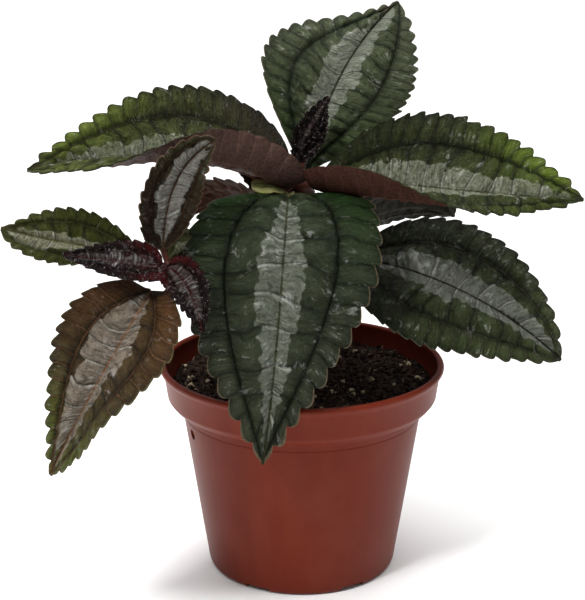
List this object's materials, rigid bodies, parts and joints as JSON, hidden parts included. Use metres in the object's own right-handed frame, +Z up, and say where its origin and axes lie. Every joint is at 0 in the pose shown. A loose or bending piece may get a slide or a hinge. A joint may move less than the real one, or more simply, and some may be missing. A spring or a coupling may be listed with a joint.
{
  "type": "potted friendship plant",
  "caption": "Small potted Pilea with toothed, silver-banded bronze-green leaves and a side shoot, in a round terracotta-brown plastic nursery pot filled with potting mix.",
  "frame": {"origin": "centre of the pot's flat foot, where it stands", "axes": "+Z up along the pot's axis, -Y to the front, where the front leaf hangs over the rim, +X to the right of someone who looks at the front"},
  "size_m": [0.1676, 0.1451, 0.1767],
  "materials": {
    "pot_plastic": "moulded polypropylene, terracotta brown, soft sheen, slightly chalky",
    "potting_mix": "dark, crumbly peat and bark mix with pale perlite and wood bits",
    "stem_skin": "fleshy, reddish brown, fine short hairs",
    "leaf": "quilted bronze-green blade with a silver band along the midrib, purple-brown underneath",
    "young_leaf": "dark purple-red, puckered, with short white hairs",
    "stipule": "thin, yellow-green, slightly see-through"
  },
  "bodies": {
    "root": {"pot": "pot_plastic", "soil": "potting_mix", "stem_main": "stem_skin", "stem_side": "stem_skin", "leaf_crown_left": "leaf", "leaf_crown_right": "leaf", "leaf_crown_front": "leaf", "leaf_crown_back": "leaf", "leaf_low_right": "leaf", "leaf_low_back_right": "leaf", "leaf_low_back_left": "leaf", "leaf_low_back": "leaf", "leaf_side_upper": "leaf", "leaf_side_outer": "leaf", "leaf_side_inner": "leaf", "leaf_side_lower": "leaf", "leaf_side_young_left": "young_leaf", "leaf_side_young_right": "young_leaf", "leaf_axil": "young_leaf", "bud_crown": "young_leaf", "stipule_crown": "stipule"}
  },
  "joints": []
}
